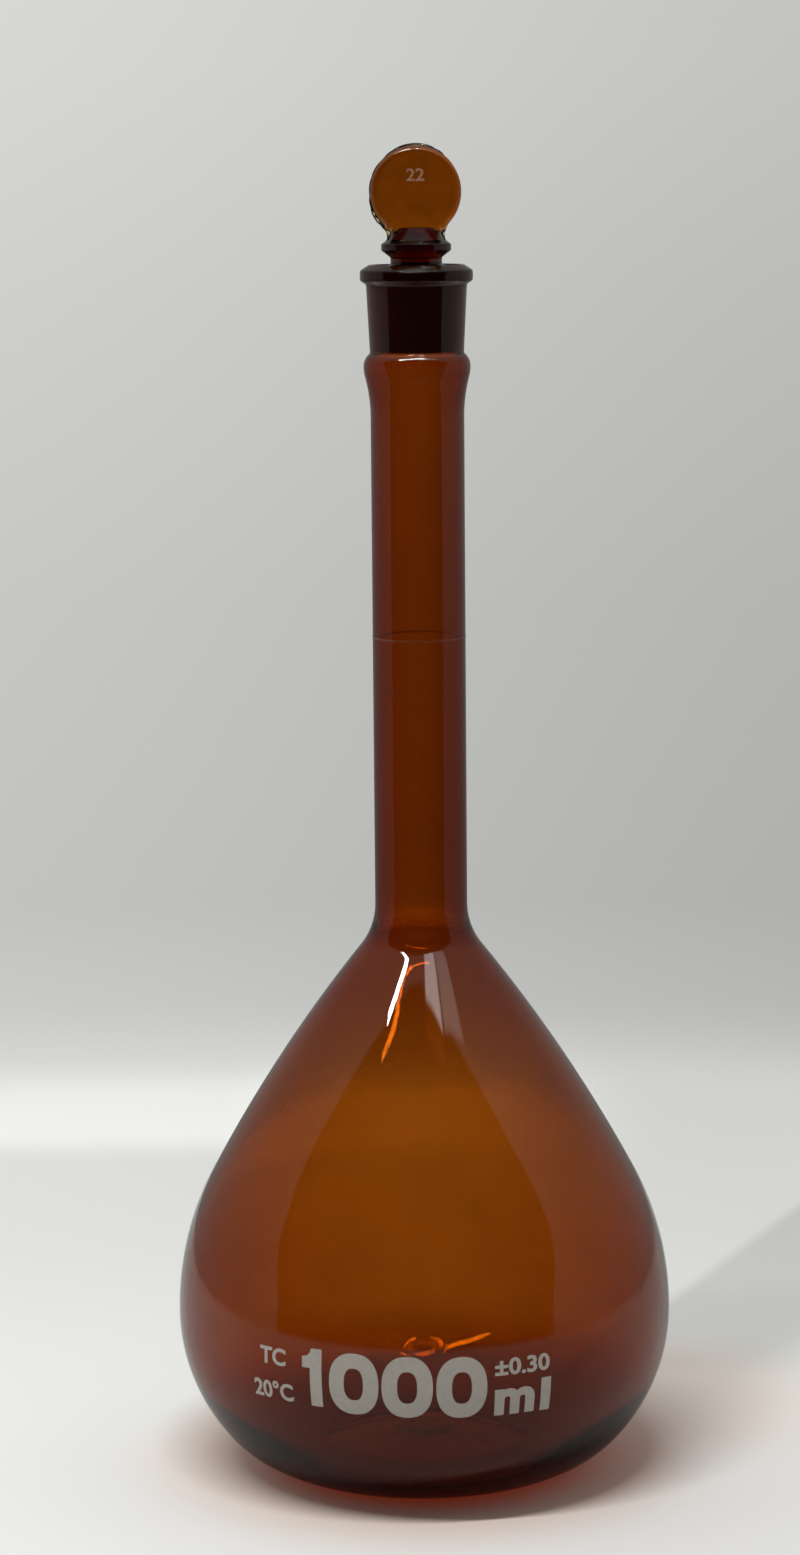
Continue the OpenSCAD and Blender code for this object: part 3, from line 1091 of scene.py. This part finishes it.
def tent_level(tree, axes):
    """What polished glass reflects: pale walls, an open dark front, and two pale panels."""
    z = axes.outputs["Z"]
    front = open_front(tree, axes, 0.012)
    walls = product(tree, ramped(tree, z, 0.3, 0.85, WALL_LEVEL, CEILING_LEVEL),
                    ramped(tree, z, -0.2, -0.05, 0.75, 1.0))
    level = blend_grey(tree, front, walls, DARK_LEVEL)
    for x_range, y_low, slant, soft, strength in PANELS:
        level = blend_grey(tree, patch(tree, axes, x_range, y_low, slant, soft), level, strength)
    return level


def sky_level(tree, axes):
    """Soft light on matt surfaces, brighter low down and to the left, weak from the front."""
    sky = product(tree, ramped(tree, axes.outputs["Z"], 0.0, 1.0, SKY_LOW, SKY_HIGH),
                  ramped(tree, axes.outputs["X"], -0.8, 0.8, SKY_LEFT, SKY_RIGHT))
    shut = product(tree, open_front(tree, axes, 0.1), 1.0 - SKY_FRONT)
    return product(tree, sky, calc(tree, "SUBTRACT", 1.0, shut))


def backdrop_level(tree, axes):
    """What the camera sees behind the flask."""
    return product(tree, curve_of(tree, axes.outputs["Z"], -0.3, 0.3, BACKDROP),
                   ramped(tree, axes.outputs["X"], -0.16, 0.16, 1.13, 0.87))


def studio_world():
    """Soft light all round. The camera and straight views through the glass see the backdrop."""
    world = bpy.data.worlds.new("studio")
    world.use_nodes = True
    tree = world.node_tree
    tree.nodes.clear()
    output = add(tree, "ShaderNodeOutputWorld")
    light = add(tree, "ShaderNodeBackground")
    axes = axes_of(tree, add(tree, "ShaderNodeTexCoord").outputs["Generated"])
    path = add(tree, "ShaderNodeLightPath")
    refracted = path.outputs["Is Transmission Ray"]
    behind = ramped(tree, axes.outputs["Y"], -0.05, 0.3, SEEN_IN_FRONT, 1.0)
    through = product(tree, refracted, behind)
    seen = calc(tree, "MAXIMUM", path.outputs["Is Camera Ray"], through)
    mirrored = calc(tree, "MAXIMUM", path.outputs["Is Glossy Ray"], refracted)
    level = blend_grey(tree, mirrored, sky_level(tree, axes), tent_level(tree, axes))
    level = blend_grey(tree, seen, level, backdrop_level(tree, axes))
    tinted = add(tree, "ShaderNodeVectorMath", operation="MULTIPLY")
    tree.links.new(level, tinted.inputs[0])
    tinted.inputs[1].default_value = BACKDROP_TINT
    tree.links.new(tinted.outputs[0], light.inputs["Color"])
    tree.links.new(light.outputs[0], output.inputs["Surface"])
    bpy.context.scene.world = world
    return world


LAMP_POS = (-0.40, -0.717, 2.0)
LAMP_LENGTH = 1.43
LAMP_WIDTH = 0.085
LAMP_TURN = 11.4
LAMP_POWER = 32.0


def studio_lamp():
    """A strip light on the ceiling, to the left and in front."""
    data = bpy.data.lights.new("strip_light", "AREA")
    data.shape = "RECTANGLE"
    data.size = LAMP_LENGTH
    data.size_y = LAMP_WIDTH
    data.energy = LAMP_POWER
    lamp = bpy.data.objects.new("strip_light", data)
    bpy.context.scene.collection.objects.link(lamp)
    lamp.location = LAMP_POS
    lamp.rotation_euler = (0, 0, math.radians(LAMP_TURN))
    lamp.visible_camera = False
    return lamp


def studio_camera():
    data = bpy.data.cameras.new("camera")
    data.lens = CAMERA_LENS
    data.sensor_width = 36.0
    data.sensor_fit = "AUTO"
    data.clip_start = 0.05
    data.clip_end = 20.0
    camera = bpy.data.objects.new("camera", data)
    bpy.context.scene.collection.objects.link(camera)
    down = math.radians(CAMERA_DOWN)
    left = math.radians(CAMERA_LEFT)
    level = math.cos(down)
    look = Vector((-math.sin(left) * level, math.cos(left) * level, -math.sin(down)))
    roll = Quaternion((0, 0, 1), math.radians(CAMERA_ROLL))
    camera.location = CAMERA_POS
    camera.rotation_mode = "QUATERNION"
    camera.rotation_quaternion = look.to_track_quat("-Z", "Y") @ roll
    bpy.context.scene.camera = camera
    return camera


# --- the scene ----------------------------------------------------------------------------------

def build():
    scene = bpy.context.scene
    scene.view_settings.view_transform = "Standard"
    studio_camera()
    studio_world()
    studio_lamp()
    studio_floor()

    amber = amber_glass("amber_glass", AMBER_TINT, AMBER_DENSITY, ripple=0.06, cloud_size=45,
                        cloud_low=0.93, ground=ground_mouth, ground_tint=GROUND_MOUTH_SHADED_TINT)
    flask = flask_glass(amber)
    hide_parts("bulb", "neck_tube", "mouth_socket")
    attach(flask, "flask")

    pressed = amber_glass("stopper_glass", PRESSED_TINT, PRESSED_DENSITY, ripple=0.12,
                          cloud_size=260, cloud_low=0.75, ground=ground_plug,
                          ground_tint=GROUND_PLUG_TINT)
    stopper = stopper_glass(pressed)
    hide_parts("stopper")
    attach(stopper, "stopper")

    mark = size_mark(pressed_frost())
    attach(mark, "stopper")

    ink = enamel("white_enamel", INK, INK_WORN)
    for make in (capacity_print, tolerance_print, temperature_print):
        piece = make(ink)
        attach(piece, "flask")

    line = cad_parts["graduation_ring"]
    line.data.materials.clear()
    line.data.materials.append(enamel("mark_enamel", RING_INK, RING_WORN, RING_COVER))


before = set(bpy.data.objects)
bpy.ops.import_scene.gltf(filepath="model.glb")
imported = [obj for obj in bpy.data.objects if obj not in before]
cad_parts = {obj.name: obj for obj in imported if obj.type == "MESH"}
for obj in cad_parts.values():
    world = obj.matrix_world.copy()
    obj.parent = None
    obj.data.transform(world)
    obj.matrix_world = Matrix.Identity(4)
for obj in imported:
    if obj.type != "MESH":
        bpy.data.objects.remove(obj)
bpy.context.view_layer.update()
build()
